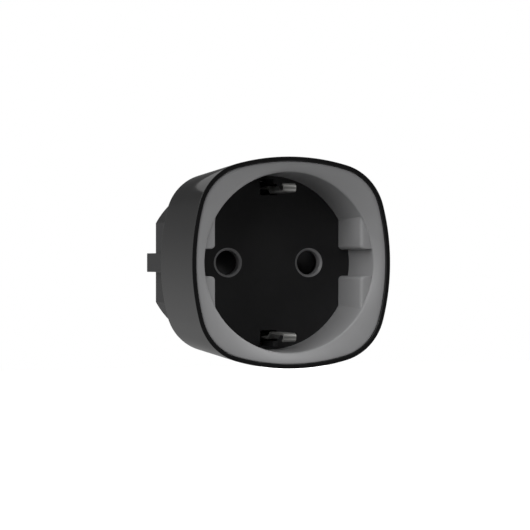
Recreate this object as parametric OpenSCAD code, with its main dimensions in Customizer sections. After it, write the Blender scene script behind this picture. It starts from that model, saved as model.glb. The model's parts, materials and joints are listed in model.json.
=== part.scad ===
// Smart plug for two-pin earthed wall sockets: an adaptor that plugs into the
// wall with its own pins and carries a switched, metered socket on its front.
// X runs to the right seen from the front, Z runs up and Y runs into the wall.
// The origin is the middle of the plug's rear face. Depths are measured
// forwards from that face, so depth d lies at Y = -d.

/* [Body] */
// Width and height of the front face
body_w = 45.28; // [45:0.1:48]
// Depth of the whole body, from the plug's rear face to the front rim
body_depth = 46.5; // [46:0.5:50]
// Radius of the gently curved sides of the front outline
side_r = 48; // [40:1:80]
// Radius of the corners of the front outline
corner_r = 12.1; // [11:0.1:14]
// Inset of the sides at the back of the body
side_taper = 1.5; // [0.8:0.1:2]
// Radius of the body's rear edge
rear_r = 2.6; // [1.5:0.1:3]
// Thickness of the shell's wall
wall = 1.2; // [1:0.1:1.4]

/* [Socket] */
// Depth of the socket recess behind the front rim
recess_depth = 14.9; // [14:0.1:15.5]
// Radius of the recess where it opens into the light ring
recess_r = 19.34; // [19.2:0.01:19.5]
// Radius of the recess at its floor
floor_r = 19.13; // [19:0.01:19.2]
// Half distance between the flats of the guide ribs
rib_x = 16.6; // [16.2:0.1:17]
// Height of the key slot between the guide ribs
key_h = 5.8; // [5:0.1:6.5]
// Distance between the pins, and between the socket holes
pin_pitch = 19; // [19:1:19]
// Radius of the pin entry holes in the socket floor
entry_r = 2.7; // [2.5:0.01:2.8]
// Width of the black lip around the light ring
lip_w = 0.94; // [0.8:0.01:1.1]

/* [Plug] */
// Radius of the plug body that enters the wall socket
plug_r = 18.6; // [18.2:0.1:18.7]
// Half distance between the plug body's flats
flat_x = 16.2; // [15.6:0.1:16.3]
// Length of the plug body
plug_len = 17.5; // [17.5:0.1:18]
// Radius of the plug pins
pin_r = 2.4; // [2.4:0.01:2.4]
// Free length of the plug pins
pin_len = 19; // [19:0.1:19.4]

/* [Moving parts] */
// Distance from the middle to each earth finger's contact face
earth_r = 15.1; // [14.9:0.05:15.3]

/* [Hidden] */

$fn = 64;
skin = 0.01;      // thickness of the slices that a hull joins
slack = 0.03;     // gap between fitted mouldings
over = 1;         // length by which a cut runs past a face

// Front outline
half_w = body_w / 2;
side_off = side_r - half_w;
blend_gap = side_r - corner_r;
corner_c = (sqrt(2 * blend_gap * blend_gap - side_off * side_off) - side_off) / 2;
blend_a = atan2(corner_c + side_off, corner_c);
corner_steps = 10; // points along each corner of the outline
side_steps = 6;    // points along each side of the outline

// Depths of the layers, from the back to the front
rear_wall = 2;
shoulder_t = 1.6;
flange_d = plug_len + shoulder_t;
flange_t = 1.6;
board_d = 14.4;
board_t = 1.6;
board_front = board_d + board_t;
carrier_d = 17;
carrier_t = 8.2;
plate_d = 22.8;
plate_t = 2.6;
plate_front = plate_d + plate_t;
led_d = 26.4;
led_t = 1;
rotor_d = 25.7;
rotor_t = 2.6;
floor_d = body_depth - recess_depth;
floor_t = 3;
floor_back = floor_d - floor_t;
ring_d = body_depth - 1.6;
ring_top = body_depth - 0.3;
ledge_d = body_depth - 3.1;

// Radii and places shared by several parts
pin_x = pin_pitch / 2;
tube_r = 20.2;
edge_r = 0.15;
taper_len = body_depth - plug_len - rear_r;
post_r = 2;
pivot_r = 2.05;
carrier_post_z = 9;
led_post_x = 12.6;
screw_core_r = 0.95;
screw_hole_r = 1;
screw_clear_r = 1.2;
screw_head_r = 1.85;
screw_head_t = 1.1;
main_post_x = 12;
main_post_z = 8.5;
main_post_r = 1.7;
strap_r = 16.2;
strap_t = 0.5;
strap_w = 5;
finger_w = 2.9;
finger_root_w = 2.6;
finger_pivot_d = 30.3;
receptacle_r = 3;
contact_r = 2.45;
contact_d = 13.2;
contact_front = 25.2;
strap_leg_x = 13.1;
sheet_t = 0.8;
radio_front = board_front + sheet_t;

// Relay, seen from the front: its middle height and its box
relay_x = 9.2;
relay_z = 9.2;
relay_half_z = 4.6;
relay_back = 2.4;
relay_seat = 13.2;
coil_x = -4.6;
contact_x = 3.6;
contact_pad_r = 1.1;

// Transformer: its middle height and its frame's depths
core_z = -9.6;
core_back = 7;
core_front = 11.4;

// Turns a point about the middle of the outline
function turned(p, a) = [p[0] * cos(a) - p[1] * sin(a), p[0] * sin(a) + p[1] * cos(a)];
// Points of an arc about c, without its last point
function arc(c, r, a0, a1, n) =
    [for (i = [0 : n - 1]) let (a = a0 + (a1 - a0) * i / n) c + r * [cos(a), sin(a)]];
// One quarter of the front outline: a corner, then the side that follows it
function quarter(inset) = concat(
    arc([corner_c, corner_c], corner_r - inset, 90 - blend_a, blend_a, corner_steps),
    arc([0, -side_off], side_r - inset, blend_a, 180 - blend_a, side_steps)
);
// The front outline, moved inwards by inset
function face_outline(inset) = [for (q = [0 : 3]) for (p = quarter(inset)) turned(p, 90 * q)];
// How far the shell's side has come in at a depth
function taper_at(d) = side_taper * (body_depth - d) / taper_len;

// Extrudes a front view, x to the right and y up, from depth d0 to depth d1
module slab(d0, d1) {
    translate([0, -d0, 0])
        rotate([90, 0, 0])
            linear_extrude(d1 - d0)
                children();
}
// Turns an outline of radius and depth about the middle axis
module spun() {
    rotate([90, 0, 0])
        rotate_extrude()
            children();
}
// Extrudes a side view, depth and height, across a width
module across(width) {
    rotate([90, 0, 90])
        linear_extrude(width, center = true)
            mirror([1, 0])
                children();
}
// Box given by its lowest and highest x, depth and z
module block(x0, x1, d0, d1, z0, z1) {
    translate([x0, -d1, z0])
        cube([x1 - x0, d1 - d0, z1 - z0]);
}
// Round bar along the depth
module rod(r, d0, d1) {
    slab(d0, d1) circle(r);
}
// Puts a child at a front-view position
module at(x, z) {
    translate([x, 0, z]) children();
}
// Repeats a child at the left and the right pin axis
module at_pins() {
    for (s = [-1, 1]) at(s * pin_x, 0) children();
}
// The upper child and its mirror image below
module top_and_bottom() {
    for (m = [0, 1]) mirror([0, 0, m]) children();
}
// Self-tapping screw with a crossed recess, head towards the back
module screw(head_d, length) {
    cross_x = 1.1;
    cross_z = 0.22;
    cross_t = 0.6;
    difference() {
        union() {
            rod(screw_head_r, head_d, head_d + screw_head_t);
            rod(screw_core_r, head_d + screw_head_t - skin, head_d + screw_head_t + length);
        }
        for (a = [0, 90])
            rotate([0, a, 0])
                block(-cross_x, cross_x, head_d - over, head_d + cross_t, -cross_z, cross_z);
    }
}

// ---- Housing ----

// Plug body's outline: a circle with two flats, each with a guide key
module plug_outline(grow) {
    key_x = 18.33;
    plug_key_h = 4.3;
    intersection() {
        circle(plug_r + grow, $fn = 128);
        square([2 * (flat_x + grow), 2 * (plug_r + over)], center = true);
    }
    square([2 * (key_x + grow), plug_key_h + 2 * grow], center = true);
}
// Shell's outside: a rounded front edge, tapered sides and a rounded rear edge
module shell_body() {
    front = [for (a = [0 : 45 : 90])
        [body_depth - skin - edge_r * (1 - sin(a)), edge_r * (1 - cos(a))]];
    rear = [for (a = [0 : 15 : 90])
        [plug_len + rear_r * (1 - sin(a)), side_taper + rear_r * (1 - cos(a))]];
    hull()
        for (s = concat(front, rear))
            slab(s[0], s[0] + skin) polygon(face_outline(s[1]));
}
// Room inside the shell behind the light ring
module shell_room() {
    room_d = flange_d + flange_t;
    hull() {
        slab(ledge_d, ledge_d + skin) polygon(face_outline(wall + taper_at(ledge_d)));
        slab(room_d, room_d + skin) polygon(face_outline(wall + taper_at(room_d)));
        slab(flange_d, flange_d + skin) polygon(face_outline(side_taper + rear_r));
    }
}
module outer_shell() {
    plug_gap = 0.08;
    color([0.07, 0.07, 0.08])
        difference() {
            shell_body();
            shell_room();
            slab(ledge_d, body_depth + over) polygon(face_outline(lip_w));
            slab(plug_len - over, flange_d + skin) plug_outline(plug_gap);
        }
}
// Funnel between the rim's outline and the round recess
module ring_funnel() {
    hull() {
        slab(ring_d - skin, ring_d) circle(recess_r, $fn = 96);
        slab(ring_top, ring_top + skin) polygon(face_outline(lip_w + slack));
    }
}
// Guide ribs: two at each side, with the key slot between them
module guide_ribs() {
    rib_front = body_depth - 2.3;
    rib_root = 0.6;
    for (m = [0, 1])
        mirror([m, 0, 0])
            difference() {
                intersection() {
                    rod(floor_r + rib_root, floor_d, ring_d);
                    translate([0, 0, -floor_r])
                        linear_extrude(2 * floor_r)
                            mirror([0, 1])
                                polygon([
                                    [rib_x, floor_d], [tube_r, floor_d],
                                    [tube_r, ring_d], [recess_r, ring_d], [rib_x, rib_front]
                                ]);
                }
                block(0, recess_r, floor_d - over, body_depth, -key_h / 2, key_h / 2);
            }
}
module light_ring() {
    leg_d = 28.6;
    leg_w = 6;
    leg_gap = 0.15;
    leg_r = 22.4;
    color([0.62, 0.62, 0.63])
        union() {
            difference() {
                union() {
                    slab(ledge_d, ring_top) polygon(face_outline(lip_w + slack));
                    rod(tube_r, floor_d, ledge_d + skin);
                }
                translate([0, -floor_d + skin, 0])
                    rotate([90, 0, 0])
                        cylinder(ring_d - floor_d + skin, floor_r, recess_r, $fn = 96);
                ring_funnel();
            }
            guide_ribs();
            for (a = [45 : 90 : 315])
                rotate([0, a, 0])
                    block(tube_r + leg_gap, leg_r, leg_d, ledge_d + skin, -leg_w / 2, leg_w / 2);
        }
}
module socket_floor() {
    chamfer_r = 3.2;
    chamfer_t = 0.35;
    slot_x = 1.95;
    slot_in = 14.9;
    slot_out = 18.3;
    rib_t = 0.95;
    rib_z = 17.15;
    rib_top = floor_d + 4.3;
    pivot_front = 0.1;
    hole_d = floor_d - 1;
    color([0.06, 0.06, 0.065]) {
        difference() {
            union() {
                rod(tube_r, floor_back, floor_d);
                rod(pivot_r, plate_front + pivot_front, floor_back + skin);
                top_and_bottom()
                    at(0, carrier_post_z) rod(post_r, plate_front, floor_back + skin);
                for (x = [-1, 1], z = [-1, 1])
                    at(x * led_post_x, z * led_post_x) rod(post_r, led_d + led_t, floor_back + skin);
            }
            at_pins() {
                rod(entry_r, floor_back - over, floor_d + over);
                translate([0, -(floor_d - chamfer_t), 0])
                    rotate([90, 0, 0])
                        cylinder(chamfer_t + skin, entry_r, chamfer_r + skin);
            }
            top_and_bottom() {
                block(-slot_x, slot_x, floor_back - over, floor_d + over, slot_in, slot_out);
                at(0, carrier_post_z) rod(screw_hole_r, plate_front - over, hole_d);
            }
            for (x = [-1, 1], z = [-1, 1])
                at(x * led_post_x, z * led_post_x) rod(screw_hole_r, led_d, hole_d);
        }
        top_and_bottom()
            block(-rib_t / 2, rib_t / 2, floor_back, rib_top, rib_z, slot_out + skin);
    }
}
// Inside of the plug body, kept clear of the two earth channels
module plug_room() {
    room_wall = 1.8;
    channel_wall_z = 14.7;
    channel_wall_w = 11.4;
    difference() {
        intersection() {
            circle(plug_r - room_wall, $fn = 128);
            square([2 * (flat_x - room_wall), 2 * plug_r], center = true);
        }
        for (m = [0, 1])
            mirror([0, m])
                translate([-channel_wall_w / 2, channel_wall_z])
                    square([channel_wall_w, plug_r]);
    }
}
module plug_body() {
    channel_w = 8.4;
    channel_back = 1.2;
    channel_front = plug_len - 2.5;
    strap_cover = 0.15;
    flange_gap = 0.3;
    root_r = 2.72;
    post_hole_d = 6;
    color([0.08, 0.08, 0.085]) {
        difference() {
            union() {
                slab(0, flange_d) plug_outline(0);
                slab(flange_d, flange_d + flange_t)
                    polygon(face_outline(side_taper + rear_r + flange_gap));
            }
            slab(rear_wall, flange_d + flange_t + over) plug_room();
            at_pins() rod(root_r, -over, rear_wall + over);
            top_and_bottom() {
                block(-channel_w / 2, channel_w / 2, channel_back, channel_front, strap_r, plug_r + over);
                block(-channel_w / 2, channel_w / 2, -over, channel_back + skin,
                    strap_r + strap_t + strap_cover, plug_r + over);
                block(-strap_w / 2 - slack, strap_w / 2 + slack, channel_front - skin,
                    flange_d + flange_t + over, strap_r, strap_r + strap_t + slack);
            }
        }
        for (s = [-1, 1])
            at(s * main_post_x, main_post_z)
                difference() {
                    rod(main_post_r, rear_wall - skin, board_d);
                    rod(screw_hole_r, post_hole_d, board_d + over);
                }
    }
}

// ---- Plug pins and earth path ----

module plug_pin(side) {
    root_r = 2.7;
    collar_r = 3.4;
    collar_t = 1;
    tail_r = 1.5;
    tail_d = 6;
    tip = 1.6;
    tip_r = 3.2;
    color([0.78, 0.77, 0.74])
        at(side * pin_x, 0) {
            rod(tail_r, rear_wall + collar_t - skin, tail_d);
            rod(collar_r, rear_wall, rear_wall + collar_t);
            rod(root_r, 0, rear_wall + skin);
            rod(pin_r, tip - pin_len, skin);
            intersection() {
                rod(pin_r, -pin_len, tip - pin_len + skin);
                translate([0, pin_len - tip_r, 0]) sphere(tip_r);
            }
        }
}
module plug_pin_left() plug_pin(-1);
module plug_pin_right() plug_pin(1);

// Flat strap from the plug's earth contact to the foot of the earth finger
module earth_strap() {
    strap_back = 1.2;
    neck_d = 25;
    pivot_gap = 0.45;
    color([0.72, 0.72, 0.7]) {
        block(-strap_w / 2, strap_w / 2, strap_back, neck_d, strap_r, strap_r + strap_t);
        block(-finger_root_w / 2, finger_root_w / 2, neck_d - skin, finger_pivot_d - pivot_gap,
            strap_r, strap_r + strap_t);
    }
}
module earth_strap_top() earth_strap();
module earth_strap_bottom() mirror([0, 0, 1]) earth_strap();

// Sprung finger: it rises from the floor, leans in and ends in a rolled nose
module earth_finger() {
    t = 0.45;
    knee_d = floor_d + 2.6;
    lean_d = floor_d + 4.3;
    nose_d = floor_d + 12.2;
    nose_r = 0.95;
    nose_lap = 0.2;
    foot_z = strap_r + strap_t / 2;
    foot_d = finger_pivot_d - 0.2;
    bend = 0.1;
    lap = 0.3;
    color([0.74, 0.74, 0.72]) {
        across(finger_root_w)
            polygon([
                [foot_d, foot_z - t / 2], [knee_d - bend, foot_z - t / 2],
                [lean_d - bend, earth_r], [lean_d + lap, earth_r],
                [lean_d + lap, earth_r + t], [lean_d + bend, earth_r + t],
                [knee_d + bend, foot_z + t / 2], [foot_d, foot_z + t / 2]
            ]);
        block(-finger_w / 2, finger_w / 2, lean_d + lap - bend, nose_d, earth_r, earth_r + t);
        across(finger_w)
            translate([nose_d, earth_r + nose_r])
                difference() {
                    circle(nose_r);
                    circle(nose_r - t);
                    translate([-2 * nose_r - nose_lap, -nose_r - over])
                        square([2 * nose_r, 2 * nose_r + 2 * over]);
                }
    }
}
module earth_finger_top() earth_finger();
module earth_finger_bottom() mirror([0, 0, 1]) earth_finger();

// Half ring that joins the two earth straps
module earth_bridge() {
    ring_in = 14.7;
    bridge_d = 21;
    bridge_t = 0.6;
    tab_x = 2.2;
    tab_end = 24;
    color([0.7, 0.7, 0.68]) {
        difference() {
            rod(strap_r, bridge_d, bridge_d + bridge_t);
            rod(ring_in, bridge_d - over, bridge_d + over);
            block(tab_x, plug_r, bridge_d - over, bridge_d + over, -plug_r, plug_r);
        }
        top_and_bottom()
            block(-tab_x, tab_x, bridge_d, tab_end, strap_r - strap_t, strap_r);
    }
}

// ---- Socket mechanism ----

module shutter() {
    arm_h = 5.8;
    bore_r = pivot_r + 0.05;
    hub_r = 3.6;
    ramp_x = 6.4;
    ramp_w = 10;
    cut = 0.1;
    thin_d = rotor_d + 0.7;
    front_d = rotor_d + rotor_t;
    color([0.1, 0.1, 0.11])
        difference() {
            union() {
                rod(hub_r, rotor_d, front_d);
                block(-pin_x, pin_x, rotor_d, front_d, -arm_h / 2, arm_h / 2);
                at_pins() rod(arm_h / 2, rotor_d, front_d);
            }
            rod(bore_r, rotor_d - over, front_d + over);
            for (a = [0, 180])
                rotate([0, a, 0])
                    translate([ramp_x + ramp_w / 2, 0, 0])
                        across(ramp_w)
                            polygon([
                                [thin_d, -arm_h / 2 - cut], [front_d + cut, arm_h / 2],
                                [front_d + over, arm_h / 2], [front_d + over, -arm_h / 2 - cut]
                            ]);
        }
}
// Compression spring that closes the shutter: separate turns on a small helix
module shutter_spring() {
    coil_r = 0.95;
    wire_r = 0.17;
    spring_x = 4.15;
    spring_z = 2.95;
    spring_top = 9.9;
    turns = 6;
    steps = 14;
    sides = 6;
    rise = (spring_top - spring_z - 2 * wire_r) / (turns * steps);
    mid_d = rotor_d + rotor_t / 2;
    last = turns * steps;
    points = [
        for (i = [0 : last], k = [0 : sides - 1])
            let (a = 360 * i / steps, b = 360 * k / sides, r = coil_r + wire_r * cos(b))
                [r * cos(a), r * sin(a), i * rise + wire_r * (1 + sin(b))]
    ];
    walls = [
        for (i = [0 : last - 1], k = [0 : sides - 1])
            let (p = i * sides + k, q = i * sides + (k + 1) % sides)
                each [[p, p + sides, q + sides], [p, q + sides, q]]
    ];
    caps = [[for (k = [0 : sides - 1]) k], [for (k = [sides - 1 : -1 : 0]) last * sides + k]];
    color([0.75, 0.75, 0.75])
        translate([spring_x, -mid_d, spring_z])
            polyhedron(points, concat(walls, caps));
}
module contact_carrier() {
    block_x = 13.8;
    block_z = 4.8;
    spine_x = 6;
    spine_z = 11.5;
    hole_r = receptacle_r + 0.05;
    stop_x = [2.7, 5.6];
    stop_z = [9.95, 11.3];
    color([0.14, 0.14, 0.15]) {
        difference() {
            union() {
                block(-block_x, block_x, carrier_d, carrier_d + carrier_t, -block_z, block_z);
                block(-spine_x, spine_x, plate_d, plate_front, -spine_z, spine_z);
            }
            at_pins() rod(hole_r, carrier_d - over, plate_front + over);
            top_and_bottom()
                at(0, carrier_post_z) rod(screw_clear_r, plate_d - over, plate_front + over);
        }
        block(stop_x[0], stop_x[1], plate_front - skin, rotor_d + rotor_t, stop_z[0], stop_z[1]);
    }
}
// Sprung tube that grips a pin, split into two cheeks at its front
module receptacle(side) {
    slot_w = 0.8;
    slot_d = 17.6;
    lead_in = 0.35;
    color([0.78, 0.66, 0.42])
        at(side * pin_x, 0)
            difference() {
                rod(receptacle_r, contact_d, contact_front);
                rod(contact_r, contact_d - over, contact_front + over);
                block(-slot_w / 2, slot_w / 2, slot_d, contact_front + over,
                    -receptacle_r - over, receptacle_r + over);
                translate([0, -(contact_front - lead_in), 0])
                    rotate([90, 0, 0])
                        cylinder(lead_in + skin, contact_r, contact_r + lead_in);
            }
}
module live_receptacle() receptacle(-1);
module neutral_receptacle() receptacle(1);

// Strap from a plug pin's tail to the main board
module pin_strap(side) {
    strap_back = 3.05;
    strap_front = strap_back + sheet_t;
    strap_in = 7.6;
    leg_out = strap_leg_x + sheet_t;
    hole_r = 1.52;
    reach = 2.2;
    mirror([side < 0 ? 1 : 0, 0, 0]) {
        difference() {
            block(strap_in, leg_out, strap_back, strap_front, -reach, reach);
            at(pin_x, 0) rod(hole_r, strap_back - over, strap_front + over);
        }
        block(strap_leg_x, leg_out, strap_front - skin, board_d, -reach, reach);
    }
}
module live_in_strap() color([0.76, 0.55, 0.36]) pin_strap(-1);
module neutral_busbar() {
    bar_x = 12;
    reach = 1.5;
    color([0.76, 0.55, 0.36]) {
        pin_strap(1);
        difference() {
            block(bar_x, strap_leg_x + skin, contact_d, board_d, -reach, reach);
            at(pin_x, 0) rod(receptacle_r + slack, contact_d - over, board_d + over);
        }
    }
}
module live_out_strap() {
    washer_r = 4.4;
    arm_x = [-0.5, 1.9];
    arm_z = [3, 7.5];
    color([0.76, 0.55, 0.36])
        at(-pin_x, 0)
            difference() {
                union() {
                    rod(washer_r, board_front, board_front + sheet_t);
                    block(arm_x[0], arm_x[1], board_front, board_front + sheet_t, arm_z[0], arm_z[1]);
                }
                rod(receptacle_r + slack, board_front - over, board_front + over);
            }
}
// Bridge of resistance metal over which the live current is measured
module current_shunt() {
    x = [-12.4, -7.8];
    z = [-10, -7];
    leg = 0.7;
    height = 2.2;
    bar_t = 0.5;
    color([0.66, 0.58, 0.5])
        difference() {
            block(x[0], x[1], board_front, board_front + height, z[0], z[1]);
            block(x[0] + leg, x[1] - leg, board_front - over, board_front + height - bar_t,
                z[0] - over, z[1] + over);
        }
}

// ---- Electronics ----

module main_board() {
    board_r = 16.5;
    board_w = 28;
    board_h = 28.8;
    hole_gap = 0.4;
    color([0.1, 0.35, 0.2])
        difference() {
            slab(board_d, board_front)
                intersection() {
                    circle(board_r);
                    square([board_w, board_h], center = true);
                }
            at_pins() rod(receptacle_r + hole_gap, board_d - over, board_front + over);
            for (s = [-1, 1])
                at(s * main_post_x, main_post_z)
                    rod(screw_clear_r, board_d - over, board_front + over);
        }
}
module relay_base() {
    color([0.1, 0.1, 0.12])
        block(-relay_x, relay_x, relay_seat, board_d,
            relay_z - relay_half_z, relay_z + relay_half_z);
}
module relay_cover() {
    t = 0.5;
    color([0.12, 0.12, 0.14])
        difference() {
            block(-relay_x, relay_x, relay_back, relay_seat,
                relay_z - relay_half_z, relay_z + relay_half_z);
            block(-relay_x + t, relay_x - t, relay_back + t, relay_seat + over,
                relay_z - relay_half_z + t, relay_z + relay_half_z - t);
        }
}
module relay_coil() {
    flange_back = 5.4;
    flange_front = 12.6;
    cheek_t = 0.6;
    cheek_w = 3.45;
    turns_r = 3.1;
    core_r = 1.35;
    color([0.6, 0.28, 0.12])
        at(coil_x, relay_z)
            difference() {
                union() {
                    rod(turns_r, flange_back, flange_front);
                    for (d = [flange_back, flange_front - cheek_t])
                        block(-cheek_w, cheek_w, d, d + cheek_t, -cheek_w, cheek_w);
                }
                rod(core_r, flange_back - over, flange_front + over);
            }
}
// Bar of the relay that is as high as half_z each way from its middle
module relay_bar(x0, x1, d0, d1, half_z) {
    block(x0, x1, d0, d1, relay_z - half_z, relay_z + half_z);
}
// Angle of iron that carries the coil, with the core and its wider pole
module relay_yoke() {
    half_z = 3;
    plate_t = 0.5;
    leg_x = -8.6;
    leg_back = 4.6;
    foot_x = coil_x + 1.6;
    foot_d = 12.65;
    core_r = 1.3;
    pole_r = 2.2;
    pole_d = 4.95;
    pole_t = 0.4;
    color([0.6, 0.61, 0.63]) {
        relay_bar(leg_x, leg_x + plate_t, leg_back, relay_seat, half_z);
        relay_bar(leg_x, foot_x, foot_d, relay_seat, half_z);
        at(coil_x, relay_z) {
            rod(core_r, pole_d, foot_d + skin);
            rod(pole_r, pole_d, pole_d + pole_t);
        }
    }
}
// Rocking iron plate, with the peg that pushes the contact blade
module relay_armature() {
    x = [-8.45, 2.6];
    plate_back = 3.9;
    plate_front = 4.5;
    peg_w = 0.8;
    peg_d = 5.35;
    color([0.62, 0.63, 0.65]) relay_bar(x[0], x[1], plate_back, plate_front, 3);
    color([0.85, 0.85, 0.8]) relay_bar(x[1] - peg_w, x[1], plate_front - skin, peg_d, peg_w);
}
// Leaf spring that carries the moving contact
module relay_blade() {
    x = [1.4, 8.4];
    blade_back = 5.5;
    blade_front = 5.7;
    pad_d = 6.2;
    color([0.72, 0.5, 0.32]) {
        relay_bar(x[0], x[1], blade_back, blade_front, 1.8);
        at(contact_x, relay_z) rod(contact_pad_r, blade_front - skin, pad_d);
    }
}
// Fixed contact on its shelf and pin, and the pin that holds the blade's root
module relay_terminals() {
    pad_d = 7.1;
    shelf_x = [2.2, 5];
    shelf_d = [7.6, 8];
    pin_t = 0.4;
    root_x = [7.9, 8.5];
    root_d = 5.9;
    half_z = 1.8;
    color([0.74, 0.54, 0.36]) {
        at(contact_x, relay_z) rod(contact_pad_r, pad_d, shelf_d[0] + skin);
        relay_bar(shelf_x[0], shelf_x[1], shelf_d[0], shelf_d[1], half_z);
        relay_bar(shelf_x[1] - pin_t, shelf_x[1], shelf_d[1] - skin, relay_seat, half_z);
        relay_bar(root_x[0], root_x[1], root_d, relay_seat, half_z);
    }
}
// Transformer frame with a middle leg, lying below the pins
module transformer_core() {
    core_w = 10;
    core_h = 9.2;
    window_x = 2.45;
    window_w = 2.7;
    window_h = 6.6;
    color([0.16, 0.16, 0.17])
        at(0, core_z)
            slab(core_back, core_front)
                difference() {
                    square([core_w, core_h], center = true);
                    for (s = [-1, 1])
                        translate([s * window_x, 0]) square([window_w, window_h], center = true);
                }
}
// Wound bobbin round the frame's middle leg, and the base that it stands on
module transformer_winding() {
    winding_r = 3.7;
    winding_h = 6.4;
    leg_x = 1.1;
    base_x = 4.6;
    base_z = 4.4;
    base_d = 12.6;
    color([0.85, 0.7, 0.25])
        at(0, core_z) {
            difference() {
                translate([0, -(core_back + core_front) / 2, -winding_h / 2])
                    cylinder(winding_h, r = winding_r);
                block(-leg_x, leg_x, core_back, core_front, -winding_h, winding_h);
            }
            block(-base_x, base_x, base_d, board_d, -base_z, base_z);
        }
}
// Can with a rolled groove near its foot
module bulk_capacitor() {
    can_x = 9.2;
    can_z = -8.4;
    can_r = 3.15;
    can_back = 3;
    groove_d = 12.8;
    bead = 0.3;
    groove = 0.4;
    color([0.12, 0.14, 0.2])
        at(can_x, can_z)
            spun()
                polygon([
                    [0, can_back], [can_r - bead, can_back], [can_r, can_back + bead],
                    [can_r, groove_d - groove], [can_r - bead, groove_d], [can_r, groove_d + groove],
                    [can_r, board_d - bead], [can_r - bead, board_d], [0, board_d]
                ]);
}
module filter_capacitor() {
    x = [-6, 5.4];
    z = [-13.4, -5.6];
    height = 5.2;
    color([0.75, 0.62, 0.15])
        block(x[0], x[1], board_front, board_front + height, z[0], z[1]);
}
// Coated disc on two wires
module varistor() {
    disc_x = -12;
    disc_z = -8;
    disc_d = 10.2;
    disc_r = 3.4;
    disc_t = 3.2;
    wire_r = 0.3;
    wire_x = [0.6, 2.6];
    color([0.15, 0.35, 0.6])
        translate([disc_x, -disc_d, disc_z])
            rotate([0, 90, 0])
                cylinder(disc_t, r = disc_r);
    color([0.7, 0.7, 0.7])
        for (x = wire_x)
            at(disc_x + x, disc_z) rod(wire_r, disc_d + disc_r - 0.2, board_d);
}
module input_fuse() {
    fuse_x = -6.9;
    fuse_z = -6.7;
    body_r = 1.5;
    body_d = [4.6, 13];
    wire_r = 0.35;
    color([0.3, 0.24, 0.2])
        at(fuse_x, fuse_z) {
            rod(body_r, body_d[0], body_d[1]);
            rod(wire_r, body_d[1] - skin, board_d);
        }
}
module radio_board() {
    half_w = 7.5;
    z = [5.2, 14];
    color([0.08, 0.2, 0.3])
        block(-half_w, half_w, board_front, radio_front, z[0], z[1]);
}
module radio_shield() {
    x = [-6, 3];
    z = [5.8, 13.4];
    height = 2;
    t = 0.2;
    color([0.75, 0.76, 0.77])
        difference() {
            block(x[0], x[1], radio_front, radio_front + height, z[0], z[1]);
            block(x[0] + t, x[1] - t, radio_front - over, radio_front + height - t, z[0] + t, z[1] - t);
        }
}
// Quarter-wave wire: up from the radio board, out, and most of the way round
module antenna() {
    wire_r = 0.4;
    loop_r = 18.2;
    loop_d = 23.8;
    feed_x = 6.9;
    feed_z = 11;
    feed_a = atan2(feed_z, feed_x);
    feed_r = norm([feed_x, feed_z]);
    loop_turn = 260;
    color([0.8, 0.6, 0.4]) {
        at(feed_x, feed_z) rod(wire_r, radio_front, loop_d + wire_r);
        translate([0, -loop_d, 0])
            rotate([0, -feed_a, 0])
                translate([feed_r, 0, 0])
                    rotate([0, 90, 0])
                        cylinder(loop_r - feed_r, r = wire_r);
        translate([0, -loop_d, 0])
            rotate([0, -feed_a, 0])
                rotate([90, 0, 0])
                    rotate_extrude(angle = -loop_turn)
                        translate([loop_r, 0]) circle(wire_r, $fn = 24);
    }
}
// Ring board that carries the lamps, with a tab for the link to the main board
module led_board() {
    board_in = 14.2;
    edge_gap = 2.7;
    tab_x = [6.4, 11.8];
    tab_z = [-11, -8.2];
    neck_x = 8.4;
    neck_z = -13;
    slot_x = 3.2;
    slot_z = [12.2, 18.3];
    color([0.1, 0.35, 0.2])
        difference() {
            union() {
                difference() {
                    slab(led_d, led_d + led_t) polygon(face_outline(edge_gap));
                    rod(board_in, led_d - over, led_d + led_t + over);
                }
                block(tab_x[0], tab_x[1], led_d, led_d + led_t, tab_z[0], tab_z[1]);
                block(neck_x, tab_x[1], led_d, led_d + led_t, neck_z, tab_z[1]);
            }
            top_and_bottom()
                block(-slot_x, slot_x, led_d - over, led_d + led_t + over, slot_z[0], slot_z[1]);
            for (x = [-1, 1], z = [-1, 1])
                at(x * led_post_x, z * led_post_x)
                    rod(screw_clear_r, led_d - over, led_d + led_t + over);
        }
}
// Eight lamps, two behind each corner of the light ring
module status_leds() {
    lamp_r = 21.4;
    lamp_w = 1.6;
    lamp_h = 2;
    lamp_t = 0.7;
    lamp_d = led_d + led_t;
    half_step = 4.5;
    color([0.95, 0.93, 0.8])
        for (q = [45 : 90 : 315], a = [-half_step, half_step])
            rotate([0, q + a, 0])
                block(lamp_r - lamp_w / 2, lamp_r + lamp_w / 2, lamp_d, lamp_d + lamp_t,
                    -lamp_h / 2, lamp_h / 2);
}
// Pin header between the two boards
module board_link() {
    x = [6.4, 11.8];
    z = [-10.4, -8.8];
    strip_front = board_front + 2.5;
    pins = 4;
    pitch = 1.27;
    first_x = 7.2;
    wire_r = 0.32;
    color([0.12, 0.12, 0.13])
        block(x[0], x[1], board_front, strip_front, z[0], z[1]);
    color([0.8, 0.7, 0.4])
        for (i = [0 : pins - 1])
            at(first_x + pitch * i, (z[0] + z[1]) / 2) rod(wire_r, strip_front - skin, led_d);
}

// ---- Fasteners ----

module carrier_screws() {
    length = 6.4;
    color([0.6, 0.6, 0.62])
        top_and_bottom()
            at(0, carrier_post_z) screw(plate_d - screw_head_t, length);
}
module led_board_screws() {
    length = 3.6;
    color([0.6, 0.6, 0.62])
        for (x = [-1, 1], z = [-1, 1])
            at(x * led_post_x, z * led_post_x) screw(led_d - screw_head_t, length);
}
module main_board_screws() {
    length = 7.6;
    color([0.6, 0.6, 0.62])
        for (s = [-1, 1])
            at(s * main_post_x, main_post_z)
                mirror([0, 1, 0]) screw(-board_front - screw_head_t, length);
}

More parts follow.
